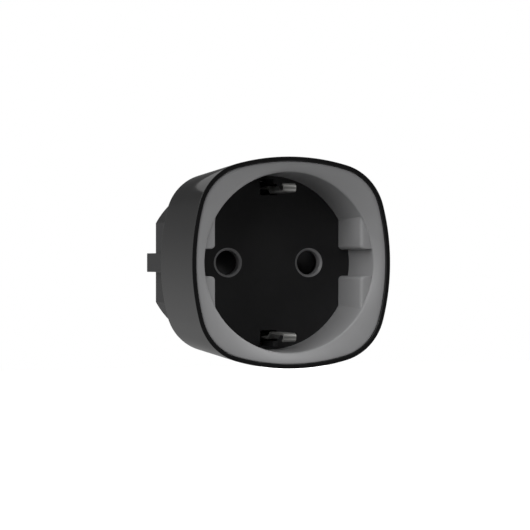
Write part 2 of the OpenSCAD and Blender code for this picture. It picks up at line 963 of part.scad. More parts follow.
outer_shell();
light_ring();
socket_floor();
plug_body();
plug_pin_left();
plug_pin_right();
earth_strap_top();
earth_strap_bottom();
earth_finger_top();
earth_finger_bottom();
earth_bridge();
shutter();
shutter_spring();
contact_carrier();
live_receptacle();
neutral_receptacle();
live_in_strap();
live_out_strap();
neutral_busbar();
current_shunt();
main_board();
relay_base();
relay_cover();
relay_coil();
relay_yoke();
relay_armature();
relay_blade();
relay_terminals();
transformer_core();
transformer_winding();
bulk_capacitor();
filter_capacitor();
varistor();
input_fuse();
radio_board();
radio_shield();
antenna();
led_board();
status_leds();
board_link();
carrier_screws();
led_board_screws();
main_board_screws();
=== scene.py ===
import json
import math

import bmesh
import bpy
import numpy as np
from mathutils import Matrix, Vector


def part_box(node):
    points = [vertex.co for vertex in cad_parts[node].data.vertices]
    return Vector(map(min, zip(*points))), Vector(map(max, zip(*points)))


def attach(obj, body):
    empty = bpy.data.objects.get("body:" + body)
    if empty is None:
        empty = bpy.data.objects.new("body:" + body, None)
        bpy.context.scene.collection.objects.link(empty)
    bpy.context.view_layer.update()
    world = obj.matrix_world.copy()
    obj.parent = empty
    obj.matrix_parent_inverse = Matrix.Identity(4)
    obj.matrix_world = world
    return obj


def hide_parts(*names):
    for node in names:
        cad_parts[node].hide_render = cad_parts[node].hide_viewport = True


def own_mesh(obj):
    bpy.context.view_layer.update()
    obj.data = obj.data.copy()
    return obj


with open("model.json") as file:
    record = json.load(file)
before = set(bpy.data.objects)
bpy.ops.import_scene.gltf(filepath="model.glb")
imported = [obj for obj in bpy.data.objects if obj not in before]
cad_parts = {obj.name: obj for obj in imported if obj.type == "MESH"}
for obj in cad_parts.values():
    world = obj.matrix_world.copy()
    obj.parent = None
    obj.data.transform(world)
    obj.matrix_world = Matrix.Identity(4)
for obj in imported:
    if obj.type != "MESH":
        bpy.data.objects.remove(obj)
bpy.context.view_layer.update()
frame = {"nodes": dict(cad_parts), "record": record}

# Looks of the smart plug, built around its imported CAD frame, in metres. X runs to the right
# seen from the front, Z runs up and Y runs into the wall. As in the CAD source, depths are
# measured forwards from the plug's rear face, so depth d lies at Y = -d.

MM = 0.001
QUARTER = math.pi / 2
WELD_GAP = 0.001 * MM

# Softened edges of CAD nodes: the angles, in degrees, below which faces merge and above which an
# edge is rounded, and how many strips round it
FLAT_ANGLE = 1
EDGE_ANGLE = 40
EDGE_STRIPS = 3

# Sizes that the frame gives
shell_low, shell_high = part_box("outer_shell")
ring_low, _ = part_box("light_ring")
_, floor_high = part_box("socket_floor")
contact_low, contact_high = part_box("live_receptacle")
HALF_W = shell_high.x
RIM_D = -shell_low.y
SHOULDER_D = -shell_high.y
RING_TOP_D = -ring_low.y
TUBE_R = floor_high.x
PIN_X = -(contact_low.x + contact_high.x) / 2

# Face outline: four gently curved sides joined by round corners
SIDE_R = 48 * MM
CORNER_R = 12.1 * MM
SIDE_OFF = SIDE_R - HALF_W
BLEND_GAP = SIDE_R - CORNER_R
CORNER_C = (math.sqrt(2 * BLEND_GAP ** 2 - SIDE_OFF ** 2) - SIDE_OFF) / 2
BLEND_A = math.atan2(CORNER_C, CORNER_C + SIDE_OFF)

# Shell
SIDE_TAPER = 1.5 * MM
REAR_R = 2.6 * MM
RIM_ROUND = 0.06 * MM
LIP_W = 0.94 * MM
LIP_ROUND = 0.1 * MM
WALL = 1.2 * MM
FLANGE_D = SHOULDER_D + 1.6 * MM
ROOM_D = FLANGE_D + 1.6 * MM
LEDGE_D = RIM_D - 3.1 * MM
TAPER_LEN = RIM_D - SHOULDER_D - REAR_R

# Plug body's outline
PLUG_R = 18.6 * MM
FLAT_X = 16.2 * MM
KEY_X = 18.33 * MM
PLUG_KEY_Z = 2.15 * MM
PLUG_GAP = 0.08 * MM

# Light ring. Its band is dished: the depth falls as this power of the way in.
RING_GAP = 0.03 * MM
RING_ROUND = 0.12 * MM
RING_DISH = 1.7

# Socket recess
MOUTH_R = 19.34 * MM
MOUTH_D = RIM_D - 1.6 * MM
MOUTH_ROUND = 0.25 * MM
FLOOR_R = 19.13 * MM
FLOOR_D = RIM_D - 14.9 * MM
RIB_X = 16.6 * MM
RIB_D = RIM_D - 2.3 * MM
KEY_Z = 2.9 * MM
RIB_ROUND = 0.9 * MM
RIB_EDGE = 0.85 * MM
BEND_STEPS = 5
# Radius round each pin entry out to which its painted highlight reaches
FUNNEL_R = 3.2 * MM

# Light pipes behind the ring's corners
PIPE_D = 28.6 * MM
PIPE_IN = TUBE_R + 0.15 * MM
PIPE_OUT = 22.4 * MM
PIPE_HALF_W = 3 * MM
PIPE_ROUND = 0.3 * MM
PIPE_WAIST = 0.24 * MM

# Shutter spring. Its end turns close up.
SPRING_WIRE = 0.17 * MM
SPRING_TURNS = 8
SPRING_STEPS = 20
SPRING_CLOSED = 2.1 * SPRING_WIRE
WIRE_SIDES = 8


# ---- Meshes ----

def front_view(angle, radius, depth):
    """Points at front-view angles, radii and depths, as rows of x, y, z."""
    depth = np.broadcast_to(depth, angle.shape)
    return np.stack([radius * np.cos(angle), -depth, radius * np.sin(angle)], axis=1)


def full_turn(first_quarter):
    """A whole turn of angles, from the first quarter's mirrored about both axes."""
    half = np.concatenate([first_quarter, math.pi - first_quarter[-2::-1]])
    return np.concatenate([half[:-1], half[:-1] + math.pi])


def stepped(breaks, counts):
    """Values that run through the breaks, with a count of even steps between each pair."""
    spans = [np.linspace(a, b, n, endpoint=False) for a, b, n in zip(breaks, breaks[1:], counts)]
    return np.concatenate(spans + [breaks[-1:]])


def finish_mesh(name, bm, sharp):
    """Turns a bmesh into an object: welded, facing outwards, smooth up to the sharp angle in degrees."""
    bmesh.ops.remove_doubles(bm, verts=bm.verts, dist=WELD_GAP)
    bmesh.ops.recalc_face_normals(bm, faces=bm.faces)
    mesh = bpy.data.meshes.new(name)
    bm.to_mesh(mesh)
    bm.free()
    mesh.shade_smooth()
    mesh.set_sharp_from_angle(angle=math.radians(sharp))
    piece = bpy.data.objects.new(name, mesh)
    bpy.context.scene.collection.objects.link(piece)
    return piece


def skin_into(bm, loops, capped=False):
    """Adds the skin through loops of equal length. The last joins the first, or both are capped."""
    rows = [[bm.verts.new(p) for p in loop] for loop in loops]
    following = rows[1:] if capped else rows[1:] + rows[:1]
    for row, after in zip(rows, following):
        for i in range(len(row)):
            j = (i + 1) % len(row)
            bm.faces.new((row[i], row[j], after[j], after[i]))
    if capped:
        bm.faces.new(rows[0])
        bm.faces.new(rows[-1])


def soften(node, width):
    """Rounds the sharp edges of a CAD node with modifiers, which leave its own mesh alone."""
    weld = node.modifiers.new("weld", "WELD")
    weld.merge_threshold = WELD_GAP
    flat = node.modifiers.new("merge_flat_faces", "DECIMATE")
    flat.decimate_type = "DISSOLVE"
    flat.angle_limit = math.radians(FLAT_ANGLE)
    edge = node.modifiers.new("edge", "BEVEL")
    edge.width = width
    edge.segments = EDGE_STRIPS
    edge.angle_limit = math.radians(EDGE_ANGLE)
    edge.use_clamp_overlap = False
    edge.harden_normals = True


def outline_radius(angle, inset):
    """Radius of the face outline, moved inwards by inset, at front-view angles."""
    a = np.abs((angle + QUARTER / 2) % QUARTER - QUARTER / 2)
    side_reach = SIDE_R - inset
    corner_reach = CORNER_R - inset
    side = np.sqrt(side_reach ** 2 - (SIDE_OFF * np.sin(a)) ** 2) - SIDE_OFF * np.cos(a)
    across = CORNER_C * (np.cos(a) - np.sin(a))
    along = CORNER_C * (np.cos(a) + np.sin(a))
    corner = along + np.sqrt(np.maximum(corner_reach ** 2 - across ** 2, 0))
    blend = np.arctan2(side_reach * math.sin(BLEND_A), side_reach * math.cos(BLEND_A) - SIDE_OFF)
    return np.where(a < blend, side, corner)


def quadrant(angle):
    """Cosine and sine of angles folded into the first quarter, and never quite zero."""
    return np.maximum(np.abs(np.cos(angle)), 1e-9), np.maximum(np.abs(np.sin(angle)), 1e-9)


def plug_radius(angle, grow):
    """Radius of the plug body's outline: a circle with two flats, each with a key."""
    c, s = quadrant(angle)
    body = np.minimum(PLUG_R + grow, (FLAT_X + grow) / c)
    key = np.minimum((KEY_X + grow) / c, (PLUG_KEY_Z + grow) / s)
    return np.maximum(body, key)


def recess_radius(angle, wall):
    """Radius of the socket recess: a round wall, flat ribs and the key slots between them."""
    c, s = quadrant(angle)
    along = (RIB_X + RIB_ROUND) * c + (KEY_Z + RIB_ROUND) * s
    across = (RIB_X + RIB_ROUND) * s - (KEY_Z + RIB_ROUND) * c
    edge = along - np.sqrt(np.maximum(RIB_ROUND ** 2 - across ** 2, 0))
    at_edge = (s * (RIB_X + RIB_ROUND) > c * KEY_Z) & (s * RIB_X < c * (KEY_Z + RIB_ROUND))
    return np.minimum(np.where(at_edge, edge, np.maximum(RIB_X / c, KEY_Z / s)), wall)


def shell_skin():
    """Outer shell: rounded rim, tapered sides, rounded rear edge and the room inside."""
    flat_x, key_x, key_z = FLAT_X + PLUG_GAP, KEY_X + PLUG_GAP, PLUG_KEY_Z + PLUG_GAP
    breaks = np.array([
        0, math.atan2(key_z, key_x), math.atan2(key_z, flat_x),
        math.acos(flat_x / (PLUG_R + PLUG_GAP)), QUARTER,
    ])
    angles = full_turn(stepped(breaks, [6, 2, 20, 52]))
    opening = plug_radius(angles, PLUG_GAP)
    loops = [front_view(angles, opening, SHOULDER_D)]

    def add_outline(inset, depth):
        loops.append(front_view(angles, outline_radius(angles, inset), depth))

    for a in np.linspace(QUARTER, 0, 13):
        add_outline(SIDE_TAPER + REAR_R * (1 - math.cos(a)), SHOULDER_D + REAR_R * (1 - math.sin(a)))
    side_start = SHOULDER_D + REAR_R
    side_len = RIM_D - RIM_ROUND - side_start
    for share in (0.01, 0.25, 0.5, 0.75, 0.99):
        add_outline(SIDE_TAPER * (1 - share), side_start + side_len * share)
    for a in np.linspace(0, QUARTER, 7):
        add_outline(RIM_ROUND * (1 - math.cos(a)), RIM_D - RIM_ROUND * (1 - math.sin(a)))
    for a in np.linspace(0, QUARTER, 4):
        add_outline(LIP_W - LIP_ROUND * (1 - math.sin(a)), RIM_D - LIP_ROUND * (1 - math.cos(a)))
    add_outline(LIP_W, LEDGE_D)
    for d in (LEDGE_D, ROOM_D):
        add_outline(WALL + SIDE_TAPER * (RIM_D - d) / TAPER_LEN, d)
    add_outline(SIDE_TAPER + REAR_R, FLANGE_D)
    loops.append(front_view(angles, opening, FLANGE_D))
    bm = bmesh.new()
    skin_into(bm, loops)
    return finish_mesh("shell_skin", bm, 30)


def pipe_into(bm, turn):
    """Adds a light pipe at a turn round the middle, with rounded edges and a slight waist at its end."""
    middle = (PIPE_IN + PIPE_OUT) / 2
    half = (PIPE_OUT - PIPE_IN) / 2
    corners = ((1, 1), (-1, 1), (-1, -1), (1, -1))

    def outline(inset, depth):
        points = []
        for k, (side, top) in enumerate(corners):
            for a in (k + np.arange(3) / 3) * QUARTER:
                u = middle + side * (half - PIPE_ROUND) + (PIPE_ROUND - inset) * math.cos(a)
                v = top * (PIPE_HALF_W - PIPE_ROUND) + (PIPE_ROUND - inset) * math.sin(a)
                x = u * math.cos(turn) - v * math.sin(turn)
                z = u * math.sin(turn) + v * math.cos(turn)
                points.append((x, -depth, z))
        return points

    loops = []
    for a in np.linspace(QUARTER, 0, 4):
        loops.append(outline(PIPE_WAIST * math.cos(a), PIPE_D + PIPE_WAIST * (1 - math.sin(a))))
    skin_into(bm, loops + [outline(0, LEDGE_D + RING_GAP)], capped=True)


def ring_skin():
    """Light ring: a dished band round the recess, the recess wall, its guide ribs and light pipes."""
    edge_from = math.atan2(KEY_Z, RIB_X + RIB_ROUND)
    edge_to = math.atan2(KEY_Z + RIB_ROUND, RIB_X)

    def columns(wall):
        """Angles with one on each crease of the recess, whose round wall has this radius."""
        slot = math.asin(KEY_Z / wall)
        crease = math.acos(RIB_X / wall)
        breaks = np.array([0, slot, edge_from, edge_to, crease, QUARTER])
        return full_turn(stepped(breaks, [4, 6, 7, 16, 50]))

    angles = columns(MOUTH_R)
    outer = outline_radius(angles, LIP_W + RING_GAP)
    loops = []

    def band_depth(radius):
        share = (outer - radius) / (outer - MOUTH_R)
        return RING_TOP_D - (RING_TOP_D - MOUTH_D) * share ** RING_DISH

    for a in np.linspace(0, QUARTER, 4):
        radius = outer - RING_ROUND * (1 - math.cos(a))
        loops.append(front_view(angles, radius, RING_TOP_D - RING_ROUND * (1 - math.sin(a))))
    band_out = outer - RING_ROUND
    band_in = MOUTH_R + MOUTH_ROUND
    for share in np.linspace(0, 1, 15)[1:]:
        radius = band_out + (band_in - band_out) * share
        loops.append(front_view(angles, radius, band_depth(radius)))

    # Over the recess edge, along the front of the ribs and round their front edge
    inner = recess_radius(angles, MOUTH_R)
    slope = (MOUTH_D - RIB_D) / (MOUTH_R - RIB_X)

    def rib_front(radius):
        return np.maximum(RIB_D + slope * (radius * np.abs(np.cos(angles)) - RIB_X), RIB_D)

    def bend(start, knee, end):
        """Adds loops along a curve from start to end that heads for the knee, each radius and depth."""
        for t in np.linspace(0, 1, BEND_STEPS + 1)[1:]:
            curve = [(1 - t) ** 2 * p + 2 * t * (1 - t) * q + t * t * r for p, q, r in zip(start, knee, end)]
            loops.append(front_view(angles, *curve))

    foot = np.minimum(rib_front(MOUTH_R), MOUTH_D - MOUTH_ROUND)
    bend((band_in, band_depth(band_in)), (MOUTH_R, MOUTH_D), (MOUTH_R, foot))
    near = np.minimum(inner + RIB_EDGE, MOUTH_R)
    near_d = np.minimum(rib_front(near), foot)
    loops.append(front_view(angles, near, near_d))
    bend((near, near_d), (inner, np.minimum(rib_front(inner), near_d)), (inner, RIB_D - RIB_EDGE))
    for share in (0.25, 0.5, 0.75, 1):
        wall = MOUTH_R + (FLOOR_R - MOUTH_R) * share
        depth = RIB_D - RIB_EDGE + (FLOOR_D - RIB_D + RIB_EDGE) * share
        turned = columns(wall)
        loops.append(front_view(turned, recess_radius(turned, wall), depth))
    loops.append(front_view(turned, TUBE_R, FLOOR_D))
    loops.append(front_view(angles, TUBE_R, LEDGE_D))
    loops.append(front_view(angles, outer, LEDGE_D))
    bm = bmesh.new()
    skin_into(bm, loops)
    for k in range(4):
        pipe_into(bm, (k + 0.5) * QUARTER)
    return finish_mesh("ring_skin", bm, 30)


def spring_coil():
    """Shutter spring: round wire whose end turns close up."""
    low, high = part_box("shutter_spring")
    middle = (low + high) / 2
    reach = (high.x - low.x) / 2 - SPRING_WIRE
    travel = high.z - low.z - 2 * SPRING_WIRE
    turn_stops = (0, 1, SPRING_TURNS - 1, SPRING_TURNS)
    rise_stops = (0, SPRING_CLOSED, travel - SPRING_CLOSED, travel)
    wire = np.linspace(0, 2 * math.pi, WIRE_SIDES, endpoint=False)
    spread = reach + SPRING_WIRE * np.cos(wire)
    loops = []
    for turn in np.arange(SPRING_TURNS * SPRING_STEPS + 1) / SPRING_STEPS:
        rise = np.interp(turn, turn_stops, rise_stops)
        x = middle.x + spread * math.cos(2 * math.pi * turn)
        y = middle.y + spread * math.sin(2 * math.pi * turn)
        z = low.z + SPRING_WIRE + rise + SPRING_WIRE * np.sin(wire)
        loops.append(np.stack([x, y, z], axis=1))
    bm = bmesh.new()
    skin_into(bm, loops, capped=True)
    return finish_mesh("spring_coil", bm, 50)


# ---- Materials ----

# A noise node's values lie mostly between these
NOISE_LOW = 0.3
NOISE_HIGH = 0.7

# A wave node at scale 1 repeats after this length
WAVE_LENGTH = math.pi / 10

# Painted highlight: the pin entries' chamfered walls are painted pale and made smoother down to the depth
# below, and the pale zone fades out past its edges
HIGHLIGHT_D = 2.1 * MM
HIGHLIGHT_FADE = 0.315 * MM
FUNNEL_FADE = 0.07 * MM
PAINTED_HIGHLIGHT_COLOUR = (0.26, 0.26, 0.265, 1)
HIGHLIGHT_ROUGHNESS = 0.36


def principled(name, colour, roughness, **sockets):
    """A new material, its node tree and its shader, with whole-surface values on the shader's sockets."""
    material = bpy.data.materials.new(name)
    material.use_nodes = True
    tree = material.node_tree
    shader = tree.nodes["Principled BSDF"]
    shader.inputs["Base Color"].default_value = (*colour, 1)
    shader.inputs["Roughness"].default_value = roughness
    for socket, value in sockets.items():
        shader.inputs[socket.replace("_", " ")].default_value = value
    return material, tree, shader


def add(tree, kind, **settings):
    """Adds a node. Settings name its properties, or its inputs where there is no such property."""
    node = tree.nodes.new(kind)
    for key, value in settings.items():
        if hasattr(node, key):
            setattr(node, key, value)
        else:
            node.inputs[key.replace("_", " ")].default_value = value
    return node


def calculate(tree, operation, *values):
    """A math node on values that are numbers or sockets."""
    node = add(tree, "ShaderNodeMath", operation=operation)
    for i, value in enumerate(values):
        if isinstance(value, (int, float)):
            node.inputs[i].default_value = value
        else:
            tree.links.new(value, node.inputs[i])
    return node.outputs["Value"]


def between(tree, value, from_min, from_max, to_min, to_max):
    """Maps a socket's value from one range to another."""
    ranges = dict(From_Min=from_min, From_Max=from_max, To_Min=to_min, To_Max=to_max)
    node = add(tree, "ShaderNodeMapRange", **ranges)
    tree.links.new(value, node.inputs["Value"])
    return node.outputs["Result"]


def mixed(tree, kind, share, plain, other):
    """Mixes a socket with a fixed value by a share. The kind is Float or Color."""
    node = add(tree, "ShaderNodeMix", data_type={"Float": "FLOAT", "Color": "RGBA"}[kind])
    sockets = {socket.identifier: socket for socket in [*node.inputs, *node.outputs]}
    tree.links.new(share, sockets["Factor_Float"])
    tree.links.new(plain, sockets["A_" + kind])
    sockets["B_" + kind].default_value = other
    return sockets["Result_" + kind]


def object_place(tree, stretch=(1, 1, 1)):
    """The point on the surface in the piece's own metres, stretched along its axes."""
    place = add(tree, "ShaderNodeTexCoord").outputs["Object"]
    scale = add(tree, "ShaderNodeMapping", Scale=stretch)
    tree.links.new(place, scale.inputs["Vector"])
    return scale.outputs["Vector"]


def object_axes(tree):
    """The point on the surface in the piece's own metres, as separate X, Y and Z sockets."""
    parts = add(tree, "ShaderNodeSeparateXYZ")
    tree.links.new(object_place(tree), parts.inputs["Vector"])
    return parts.outputs


def noise(tree, place, size, detail, roughness, distortion=0.0):
    """Noise whose largest features are about size across."""
    look = dict(Detail=detail, Roughness=roughness, Distortion=distortion)
    node = add(tree, "ShaderNodeTexNoise", Scale=1 / size, **look)
    tree.links.new(place, node.inputs["Vector"])
    return node.outputs["Fac"]


def two_tone(tree, value, dark, light, low=NOISE_LOW, high=NOISE_HIGH):
    """A colour that runs from dark to light as a value runs from low to high."""
    ramp = add(tree, "ShaderNodeValToRGB")
    first, last = ramp.color_ramp.elements
    first.position, last.position = low, high
    first.color, last.color = (*dark, 1), (*light, 1)
    tree.links.new(value, ramp.inputs["Fac"])
    return ramp.outputs["Color"]


def vary_gloss(tree, value, roughness, smoother, rougher, low=NOISE_LOW, high=NOISE_HIGH):
    """Runs the shader's roughness between two shares of itself as a value runs from low to high."""
    gloss = between(tree, value, low, high, roughness * smoother, roughness * rougher)
    tree.links.new(gloss, tree.nodes["Principled BSDF"].inputs["Roughness"])


def bump(tree, height, distance, strength=0.6, over=None):
    """A bump from a height value, on top of an earlier bump where there is one."""
    node = add(tree, "ShaderNodeBump", Strength=strength, Distance=distance)
    tree.links.new(height, node.inputs["Height"])
    if over is not None:
        tree.links.new(over, node.inputs["Normal"])
    return node.outputs["Normal"]


def shades(colour, spread):
    """A darker and a lighter version of a colour."""
    return [c * (1 - spread) for c in colour], [min(1, c * (1 + spread)) for c in colour]


def moulded(name, colour, roughness, grain=0.12 * MM, height=0.004 * MM, mottle=0.12,
            flow_size=16 * MM, **sockets):
    """Moulded plastic: a fine spark-eroded grain with faint flow marks in colour and gloss."""
    material, tree, shader = principled(name, colour, roughness, **sockets)
    place = object_place(tree)
    grit = noise(tree, place, grain, 3, 0.6)
    flow = noise(tree, place, flow_size, 4, 0.55, 0.6)
    tree.links.new(bump(tree, grit, height), shader.inputs["Normal"])
    vary_gloss(tree, flow, roughness, 0.9, 1.12)
    tree.links.new(two_tone(tree, flow, *shades(colour, mottle)), shader.inputs["Base Color"])
    return material


def floor_with_painted_highlights(name, colour, roughness, **look):
    """Matt floor plastic whose two pin entries' chamfers are painted pale and smooth, a painted highlight.
    """
    material = moulded(name, colour, roughness, **look)
    tree = material.node_tree
    shader = tree.nodes["Principled BSDF"]
    axes = object_axes(tree)
    across = calculate(tree, "SUBTRACT", calculate(tree, "ABSOLUTE", axes["X"]), PIN_X)
    squares = [calculate(tree, "POWER", value, 2.0) for value in (across, axes["Z"])]
    radius = calculate(tree, "SQRT", calculate(tree, "ADD", *squares))
    inside = between(tree, radius, FUNNEL_R, FUNNEL_R + FUNNEL_FADE, 1, 0)
    highlight_y = HIGHLIGHT_D - FLOOR_D
    in_front = between(tree, axes["Y"], highlight_y, highlight_y + HIGHLIGHT_FADE, 1, 0)
    highlight_mask = calculate(tree, "MULTIPLY", inside, in_front)
    # Pale colour and lower roughness in the pin entries: the pale colour is a painted highlight
    highlight_looks = (("Base Color", "Color", PAINTED_HIGHLIGHT_COLOUR), ("Roughness", "Float", HIGHLIGHT_ROUGHNESS))
    for socket, kind, highlit in highlight_looks:
        plain = shader.inputs[socket].links[0].from_socket
        tree.links.new(mixed(tree, kind, highlight_mask, plain, highlit), shader.inputs[socket])
    return material


def drawn_metal(name, colour, roughness, along=(1, 1, 0.04), grain=0.08 * MM, tarnish=0.15,
                height=0.0015 * MM, cloud_size=4.5 * MM, metallic=1.0):
    """Drawn or rolled metal: fine streaks along one axis, with faint tarnish."""
    material, tree, shader = principled(name, colour, roughness, Metallic=metallic)
    streaks = noise(tree, object_place(tree, along), grain, 2, 0.5)
    clouds = noise(tree, object_place(tree), cloud_size, 3, 0.6)
    tree.links.new(bump(tree, streaks, height, 0.5), shader.inputs["Normal"])
    vary_gloss(tree, streaks, roughness, 0.8, 1.3)
    dull, _ = shades(colour, tarnish)
    tree.links.new(two_tone(tree, clouds, dull, colour, 0.35, 0.65), shader.inputs["Base Color"])
    return material


def wound_wire(name, colour, roughness, wire=0.18 * MM):
    """Enamelled wire wound side by side: round turns, some a shade darker."""
    material, tree, shader = principled(name, colour, roughness, Metallic=0.8, Coat_Weight=0.6)
    turns = add(tree, "ShaderNodeTexWave", wave_type="BANDS", bands_direction="Y", wave_profile="SIN")
    turns.inputs["Scale"].default_value = WAVE_LENGTH / wire
    tree.links.new(object_place(tree), turns.inputs["Vector"])
    tree.links.new(bump(tree, turns.outputs["Fac"], wire / 3, 1.0), shader.inputs["Normal"])
    tone = noise(tree, object_place(tree, (0.1, 3, 0.1)), 0.6 * MM, 2, 0.5)
    tree.links.new(two_tone(tree, tone, *shades(colour, 0.25)), shader.inputs["Base Color"])
    vary_gloss(tree, tone, roughness, 0.8, 1.3)
    return material


def printed_board(name, colour, roughness, track=0.26 * MM, spacing=1.1 * MM, run=4.6 * MM,
                  patch=3.2 * MM, thread=0.35 * MM):
    """Circuit board: solder mask over broken rows of raised copper tracks, on woven glass."""
    material, tree, shader = principled(name, colour, roughness, Coat_Weight=0.3)
    place = object_place(tree)
    face_on = add(tree, "ShaderNodeMapping", Rotation=(-QUARTER, 0, 0))
    tree.links.new(place, face_on.inputs["Vector"])
    sizes = dict(Scale=1.0, Mortar_Size=track / 2, Mortar_Smooth=0.2, Brick_Width=run, Row_Height=spacing)
    rows = add(tree, "ShaderNodeTexBrick", **sizes)
    tree.links.new(face_on.outputs["Vector"], rows.inputs["Vector"])
    patches = between(tree, noise(tree, place, patch, 1, 0.5), 0.47, 0.5, 0, 1)
    tracks = calculate(tree, "MULTIPLY", rows.outputs["Fac"], patches)
    weave = add(tree, "ShaderNodeTexChecker", Scale=1 / thread)
    tree.links.new(place, weave.inputs["Vector"])
    fabric = bump(tree, weave.outputs["Fac"], 0.004 * MM, 0.3)
    tree.links.new(bump(tree, tracks, 0.035 * MM, 0.8, fabric), shader.inputs["Normal"])
    tree.links.new(two_tone(tree, tracks, *shades(colour, 0.3)), shader.inputs["Base Color"])
    vary_gloss(tree, weave.outputs["Fac"], roughness, 0.9, 1.1, 0, 1)
    return material


def sintered(name, colour, roughness, grit=0.15 * MM):
    """Pressed and fired ceramic: a dull, pitted grey with pale specks."""
    material, tree, shader = principled(name, colour, roughness)
    place = object_place(tree)
    grains = noise(tree, place, grit, 5, 0.7)
    pits = between(tree, noise(tree, place, 4 * grit, 2, 0.5), 0.35, 0.45, 0, 1)
    deep = bump(tree, pits, 0.03 * MM, 0.7)
    tree.links.new(bump(tree, grains, 0.012 * MM, 0.7, deep), shader.inputs["Normal"])
    tree.links.new(two_tone(tree, grains, *shades(colour, 0.5), 0.4, 0.75), shader.inputs["Base Color"])
    vary_gloss(tree, grains, roughness, 0.85, 1.2)
    return material


def shrink_sleeve(name, colour, roughness, stripe=(0.42, 0.43, 0.46, 1), crease=0.5 * MM):
    """Shrink-on sleeve with a pale stripe down its right side and fine creases along it."""
    material, tree, shader = principled(name, colour, roughness, Coat_Weight=0.4)
    low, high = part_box("bulk_capacitor")
    middle, half = (low.x + high.x) / 2, (high.x - low.x) / 2
    to_side = between(tree, object_axes(tree)["X"], middle + half * 0.88, middle + half * 0.9, 0, 1)
    creases = noise(tree, object_place(tree, (1, 0.08, 1)), crease, 3, 0.6)
    sleeve = two_tone(tree, creases, *shades(colour, 0.2))
    tree.links.new(mixed(tree, "Color", to_side, sleeve, stripe), shader.inputs["Base Color"])
    tree.links.new(bump(tree, creases, 0.01 * MM), shader.inputs["Normal"])
    vary_gloss(tree, creases, roughness, 0.8, 1.2)
    return material


FINISHES = {
    "shell_plastic": (moulded, dict(roughness=0.03, grain=0.3 * MM, height=0.0002 * MM)),
    # The socket floor's pin entries carry a painted highlight
    "socket_plastic": (floor_with_painted_highlights, dict(roughness=0.5, grain=0.1 * MM, height=0.003 * MM)),
    "plug_plastic": (moulded, dict(roughness=0.34, grain=0.14 * MM, height=0.003 * MM)),
    "ring_diffuser": (moulded, dict(roughness=0.42, grain=0.16 * MM, height=0.0015 * MM, mottle=0.04)),
    "inner_plastic": (moulded, dict(roughness=0.4)),
    "component_plastic": (moulded, dict(roughness=0.45, grain=0.08 * MM, height=0.006 * MM)),
    "filter_case": (moulded, dict(roughness=0.25, grain=0.5 * MM, mottle=0.08, Coat_Weight=0.3)),
    "varistor_coating": (moulded, dict(
        roughness=0.22, grain=1.1 * MM, height=0.05 * MM, mottle=0.2, Coat_Weight=0.5)),
    "fuse_coating": (moulded, dict(roughness=0.7, grain=0.35 * MM, height=0.04 * MM, mottle=0.35)),
    "lamp_resin": (moulded, dict(
        roughness=0.2, mottle=0.1, Subsurface_Weight=0.3, Subsurface_Scale=0.5 * MM)),
    "circuit_board": (printed_board, dict(roughness=0.3)),
    "ferrite": (sintered, dict(roughness=0.6)),
    "capacitor_sleeve": (shrink_sleeve, dict(roughness=0.3)),
    "copper_wire": (wound_wire, dict(roughness=0.25)),
    "pin_nickel": (drawn_metal, dict(roughness=0.2, along=(1, 0.03, 1))),
    "earth_metal": (drawn_metal, dict(roughness=0.4, along=(1, 0.05, 1), metallic=0.6)),
    "steel": (drawn_metal, dict(roughness=0.32)),
    "contact_brass": (drawn_metal, dict(roughness=0.25, along=(1, 0.04, 1))),
    "copper_alloy": (drawn_metal, dict(roughness=0.28, tarnish=0.3)),
    "shunt_alloy": (drawn_metal, dict(roughness=0.4, tarnish=0.25)),
}
colours = {m["slot"]: m["base_color"] for m in frame["record"]["materials"]}
slots = {s["node"]: s["material_slot"] for s in frame["record"]["subparts"]}
finishes = {slot: make(slot, colours[slot], **look) for slot, (make, look) in FINISHES.items()}

# Edge rounding of the nodes that stay, in millimetres. The antenna's wire has no edges.
EDGE = 0.05
EDGES = {
    "plug_body": 0.12, "socket_floor": 0.08, "contact_carrier": 0.1, "shutter": 0.08,
    "relay_base": 0.15, "relay_cover": 0.2, "relay_blade": 0.03, "relay_terminals": 0.04,
    "transformer_core": 0.1, "transformer_winding": 0.12, "bulk_capacitor": 0.1, "board_link": 0.02,
    "filter_capacitor": 0.4, "input_fuse": 0.3, "varistor": 0.2,
    "earth_finger_top": 0.04, "earth_finger_bottom": 0.04,
}


def dress(piece, slot):
    """Gives a piece the finish of a material slot, in place of what it had."""
    piece.data.materials.clear()
    piece.data.materials.append(finishes[slot])


MADE_HERE = {"outer_shell": shell_skin, "light_ring": ring_skin, "shutter_spring": spring_coil}
for name, node in frame["nodes"].items():
    dress(node, slots[name])
    if name in MADE_HERE:
        piece = MADE_HERE[name]()
        dress(piece, slots[name])
        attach(piece, "housing")
        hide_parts(name)
    elif name != "antenna":
        soften(node, EDGES.get(name, EDGE) * MM)

# The spring coil gets a mesh of its own
coil = bpy.data.objects["spring_coil"]
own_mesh(coil)

# ---- Studio ----

# Camera: level with the plug, VIEW_DISTANCE from the middle of its rim and VIEW_SIDE to the left
# of straight ahead. It is turned to the right by VIEW_TURN.
VIEW_TURN = math.radians(20.3)
VIEW_SIDE = math.radians(21.083)
VIEW_DISTANCE = 0.43695
SENSOR_W = 36
LENS_LENGTH = 139.08
LENS_SHIFT = -0.0045
NEAREST = 0.01
FARTHEST = 20

FLOOR_Z = -0.35
FLOOR_REACH = 6

# Arch behind the plug: the middle of its round, its inner radius, width and brightness
ARCH_X = 0.024
ARCH_Y = 0.72
ARCH_Z = -0.08
ARCH_R = 0.29
ARCH_W = 0.07
ARCH_GLOW = 0.29

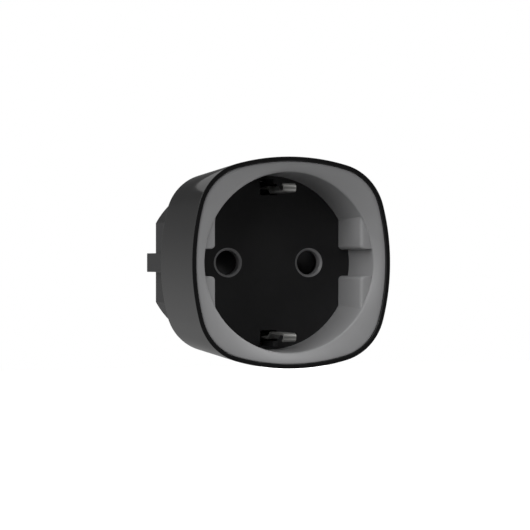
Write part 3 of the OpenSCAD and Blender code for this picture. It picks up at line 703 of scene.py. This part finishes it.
# Soft lights round the plug: degrees left of straight ahead, degrees up, strength. Each fades
# as the cosine of the angle from its middle, to the power GLOW_FALLOFF.
GLOW_FALLOFF = 10
GLOWS = [
    (-110, 46, 7.5),   # key, high on the right and a little behind
    (-66, 45, 2.7),    # its spill towards the front
    (-73, -36, 1.5),   # bounce from low on the right
    (-140, -20, 0.8),  # bounce from behind on the right
    (92, 25, 2.0),     # fill on the left
    (60, 36, 2.5),     # fill towards the front left
    (55, 15, 1.5),     # its lower edge
    (86, -14, 0.65),   # bounce from the left
    (155, -22, 0.7),   # bounce from behind on the left
    (-40, -49, 1.05),  # bounce from below
    (180, 24, 0.055),  # bounce from straight behind
]


def glowing(name, colour, roughness, strength):
    """A material that shines white, which the renderer doesn't treat as a lamp."""
    shine = dict(Emission_Color=(1, 1, 1, 1), Emission_Strength=strength)
    material, _, _ = principled(name, colour, roughness, **shine)
    material.cycles.emission_sampling = "NONE"
    return material


def arch():
    """A pale arch far behind the plug, which shows as the bright patch on the shell's corner."""
    turns = np.linspace(0.25 * math.pi, 0.75 * math.pi, 33)
    bm = bmesh.new()
    edges = []
    for radius in (ARCH_R, ARCH_R + ARCH_W):
        edge = []
        for a in turns:
            x, z = ARCH_X + radius * math.cos(a), ARCH_Z + radius * math.sin(a)
            edge.append(bm.verts.new((x, ARCH_Y, z)))
        edges.append(edge)
    inner, outer = edges
    for i in range(len(turns) - 1):
        bm.faces.new((inner[i], inner[i + 1], outer[i + 1], outer[i]))
    panel = finish_mesh("arch", bm, 30)
    panel.data.materials.append(glowing("arch_glow", (0, 0, 0), 1, ARCH_GLOW))
    panel.visible_camera = False
    panel.visible_diffuse = False


def camera():
    """A long lens at the photograph's viewing angle."""
    lens = bpy.data.cameras.new("camera")
    lens.sensor_width = SENSOR_W
    lens.lens = LENS_LENGTH
    lens.shift_y = LENS_SHIFT
    lens.clip_start, lens.clip_end = NEAREST, FARTHEST
    view = bpy.data.objects.new("camera", lens)
    ahead = RIM_D + VIEW_DISTANCE * math.cos(VIEW_SIDE)
    view.location = (-VIEW_DISTANCE * math.sin(VIEW_SIDE), -ahead, 0)
    view.rotation_euler = (QUARTER, 0, -VIEW_TURN)
    bpy.context.scene.collection.objects.link(view)
    bpy.context.scene.camera = view


def floor():
    """A white floor below the plug, which casts no light or reflection on it."""
    bm = bmesh.new()
    bmesh.ops.create_grid(bm, x_segments=4, y_segments=4, size=FLOOR_REACH)
    slab = finish_mesh("floor", bm, 30)
    slab.location = (0, 0, FLOOR_Z)
    slab.data.materials.append(glowing("floor_white", (0.9, 0.9, 0.9), 0.8, 1.0))
    slab.visible_glossy = False
    slab.visible_diffuse = False


def glow(tree, direction, left, up, strength):
    """A soft round glow in the surroundings, left of straight ahead and up, in degrees."""
    turn, rise = math.radians(left), math.radians(up)
    middle = (-math.sin(turn) * math.cos(rise), -math.cos(turn) * math.cos(rise), math.sin(rise))
    towards = add(tree, "ShaderNodeVectorMath", operation="DOT_PRODUCT")
    towards.inputs[1].default_value = middle
    tree.links.new(direction, towards.inputs[0])
    facing = calculate(tree, "MAXIMUM", towards.outputs["Value"], 0)
    return calculate(tree, "MULTIPLY", calculate(tree, "POWER", facing, GLOW_FALLOFF), strength)


def surroundings():
    """A dark room with soft glows in it, behind a white backdrop that only the camera sees."""
    world = bpy.data.worlds.new("studio")
    bpy.context.scene.world = world
    world.use_nodes = True
    tree = world.node_tree
    tree.nodes.clear()
    direction = add(tree, "ShaderNodeTexCoord").outputs["Generated"]
    total = 0.0
    for left, up, strength in GLOWS:
        total = calculate(tree, "ADD", glow(tree, direction, left, up, strength), total)
    lit = add(tree, "ShaderNodeBackground")
    tree.links.new(total, lit.inputs["Strength"])
    seen = add(tree, "ShaderNodeBackground", Color=(1, 1, 1, 1), Strength=1.0)
    path = add(tree, "ShaderNodeLightPath")
    mix = add(tree, "ShaderNodeMixShader")
    tree.links.new(path.outputs["Is Camera Ray"], mix.inputs["Fac"])
    tree.links.new(lit.outputs["Background"], mix.inputs[1])
    tree.links.new(seen.outputs["Background"], mix.inputs[2])
    out = add(tree, "ShaderNodeOutputWorld")
    tree.links.new(mix.outputs["Shader"], out.inputs["Surface"])


camera()
floor()
surroundings()
arch()
bpy.context.scene.view_settings.view_transform = "Standard"
